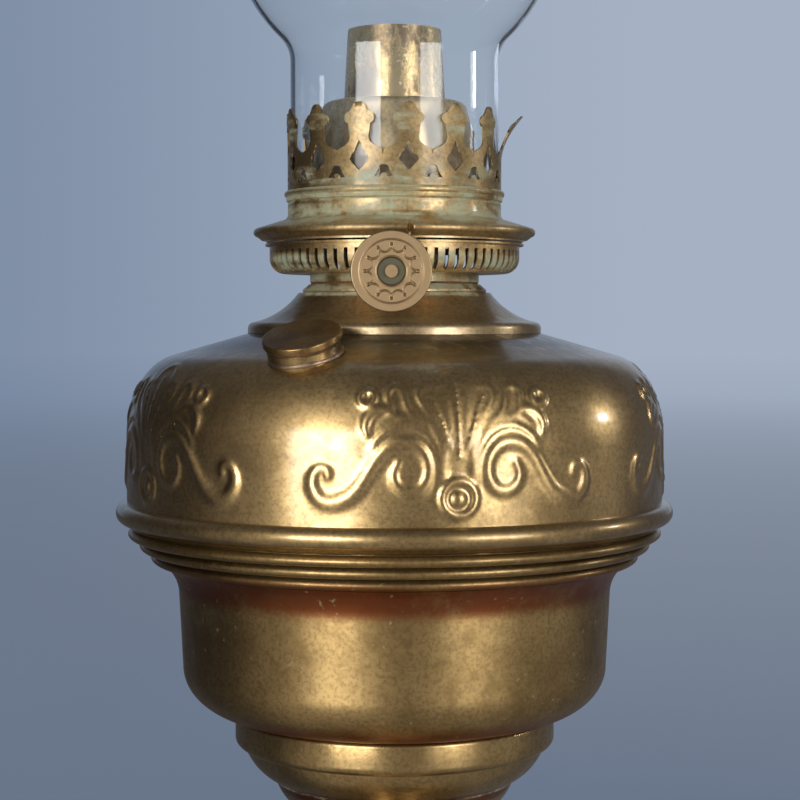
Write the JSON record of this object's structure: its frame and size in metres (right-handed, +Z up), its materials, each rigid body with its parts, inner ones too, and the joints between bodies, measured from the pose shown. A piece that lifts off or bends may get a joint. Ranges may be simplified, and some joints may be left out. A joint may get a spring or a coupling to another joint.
{
  "type": "kerosene lamp",
  "caption": "Brass table oil lamp: embossed font on a stem and round foot, tilted filler, round-wick burner with a winder knob, pierced gallery and a bulged glass chimney.",
  "frame": {"origin": "centre of the foot's underside, on the surface that the lamp stands on", "axes": "+Z up the lamp's axis, -Y towards the winder knob, +X to the right as seen from the knob"},
  "size_m": [0.152, 0.152, 0.5253],
  "materials": {
    "brass": "aged polished brass",
    "burner_brass": "aged brass with verdigris in the crevices",
    "knob_brass": "worn bright brass",
    "steel": "dull steel",
    "iron": "rough cast",
    "felt": "wool felt",
    "leather": "pressed leather",
    "wick_cotton": "woven cotton, charred at the top",
    "glass": "clear blown glass"
  },
  "bodies": {
    "stand": {"felt_pad": "felt", "base_plate": "steel", "foot": "brass", "foot_weight": "iron", "rod_nut": "steel", "rod_washer": "steel", "tie_rod": "steel", "stem_knop": "brass", "drop_cup": "brass", "bowl_boss": "brass", "font_bowl": "brass", "font_top": "brass", "shoulder_dish": "brass", "font_collar": "brass", "filler_neck": "brass"},
    "filler_washer": {"filler_washer": "leather"},
    "filler_cap": {"filler_cap": "brass"},
    "burner_gasket": {"burner_gasket": "leather"},
    "burner": {"burner_base": "burner_brass", "air_basket": "burner_brass", "deflector_cone": "burner_brass", "wick_tube": "burner_brass", "draught_tube": "burner_brass", "winder_frame": "steel", "shaft_bush": "burner_brass"},
    "knob": {"winder_knob": "knob_brass", "drive_shaft": "knob_brass", "drive_wheel": "burner_brass"},
    "idler": {"idler_shaft": "steel", "idler_wheel": "burner_brass"},
    "wick": {"wick": "wick_cotton"},
    "gallery": {"gallery_ring": "burner_brass", "gallery_crown": "burner_brass", "chimney_seat": "burner_brass"},
    "chimney": {"chimney": "glass"}
  },
  "joints": [
    {"name": "filler_rise", "type": "slide", "parent": "stand", "child": "filler_washer", "axis": [-0.1678, -0.344, 0.9239], "range_m": [0, 0.0061]},
    {"name": "filler_unscrew", "type": "hinge", "parent": "filler_washer", "child": "filler_cap", "pos_m": [-0.02345, -0.04809, 0.23448], "axis": [-0.1678, -0.344, 0.9239], "range_deg": [0, 1440]},
    {"name": "burner_rise", "type": "slide", "parent": "stand", "child": "burner_gasket", "axis": [0, 0, 1], "range_m": [0, 0.0085]},
    {"name": "burner_unscrew", "type": "hinge", "parent": "burner_gasket", "child": "burner", "pos_m": [0, 0, 0.25], "axis": [0, 0, 1], "range_deg": [0, 1440]},
    {"name": "knob_turn", "type": "hinge", "parent": "burner", "child": "knob", "pos_m": [-0.0032, -0.03, 0.25398], "axis": [0, 1, 0], "range_deg": [-180, 120]},
    {"name": "idler_turn", "type": "hinge", "parent": "burner", "child": "idler", "pos_m": [0.0032, -0.008, 0.25398], "axis": [0, 1, 0], "range_deg": [-120, 180]},
    {"name": "wick_lift", "type": "slide", "parent": "burner", "child": "wick", "axis": [0, 0, 1], "range_m": [-0.0122, 0.0082]},
    {"name": "gallery_lift", "type": "slide", "parent": "burner", "child": "gallery", "axis": [0, 0, 1], "range_m": [0, 0.06]},
    {"name": "chimney_lift", "type": "slide", "parent": "gallery", "child": "chimney", "axis": [0, 0, 1], "range_m": [0, 0.06]}
  ],
  "couplings": [
    {"joint": "filler_rise", "follows": "filler_unscrew", "m_per_rad": 0.00023873},
    {"joint": "burner_rise", "follows": "burner_unscrew", "m_per_rad": 0.00033423},
    {"joint": "idler_turn", "follows": "knob_turn", "ratio": -1},
    {"joint": "wick_lift", "follows": "knob_turn", "m_per_rad": 0.00385}
  ]
}
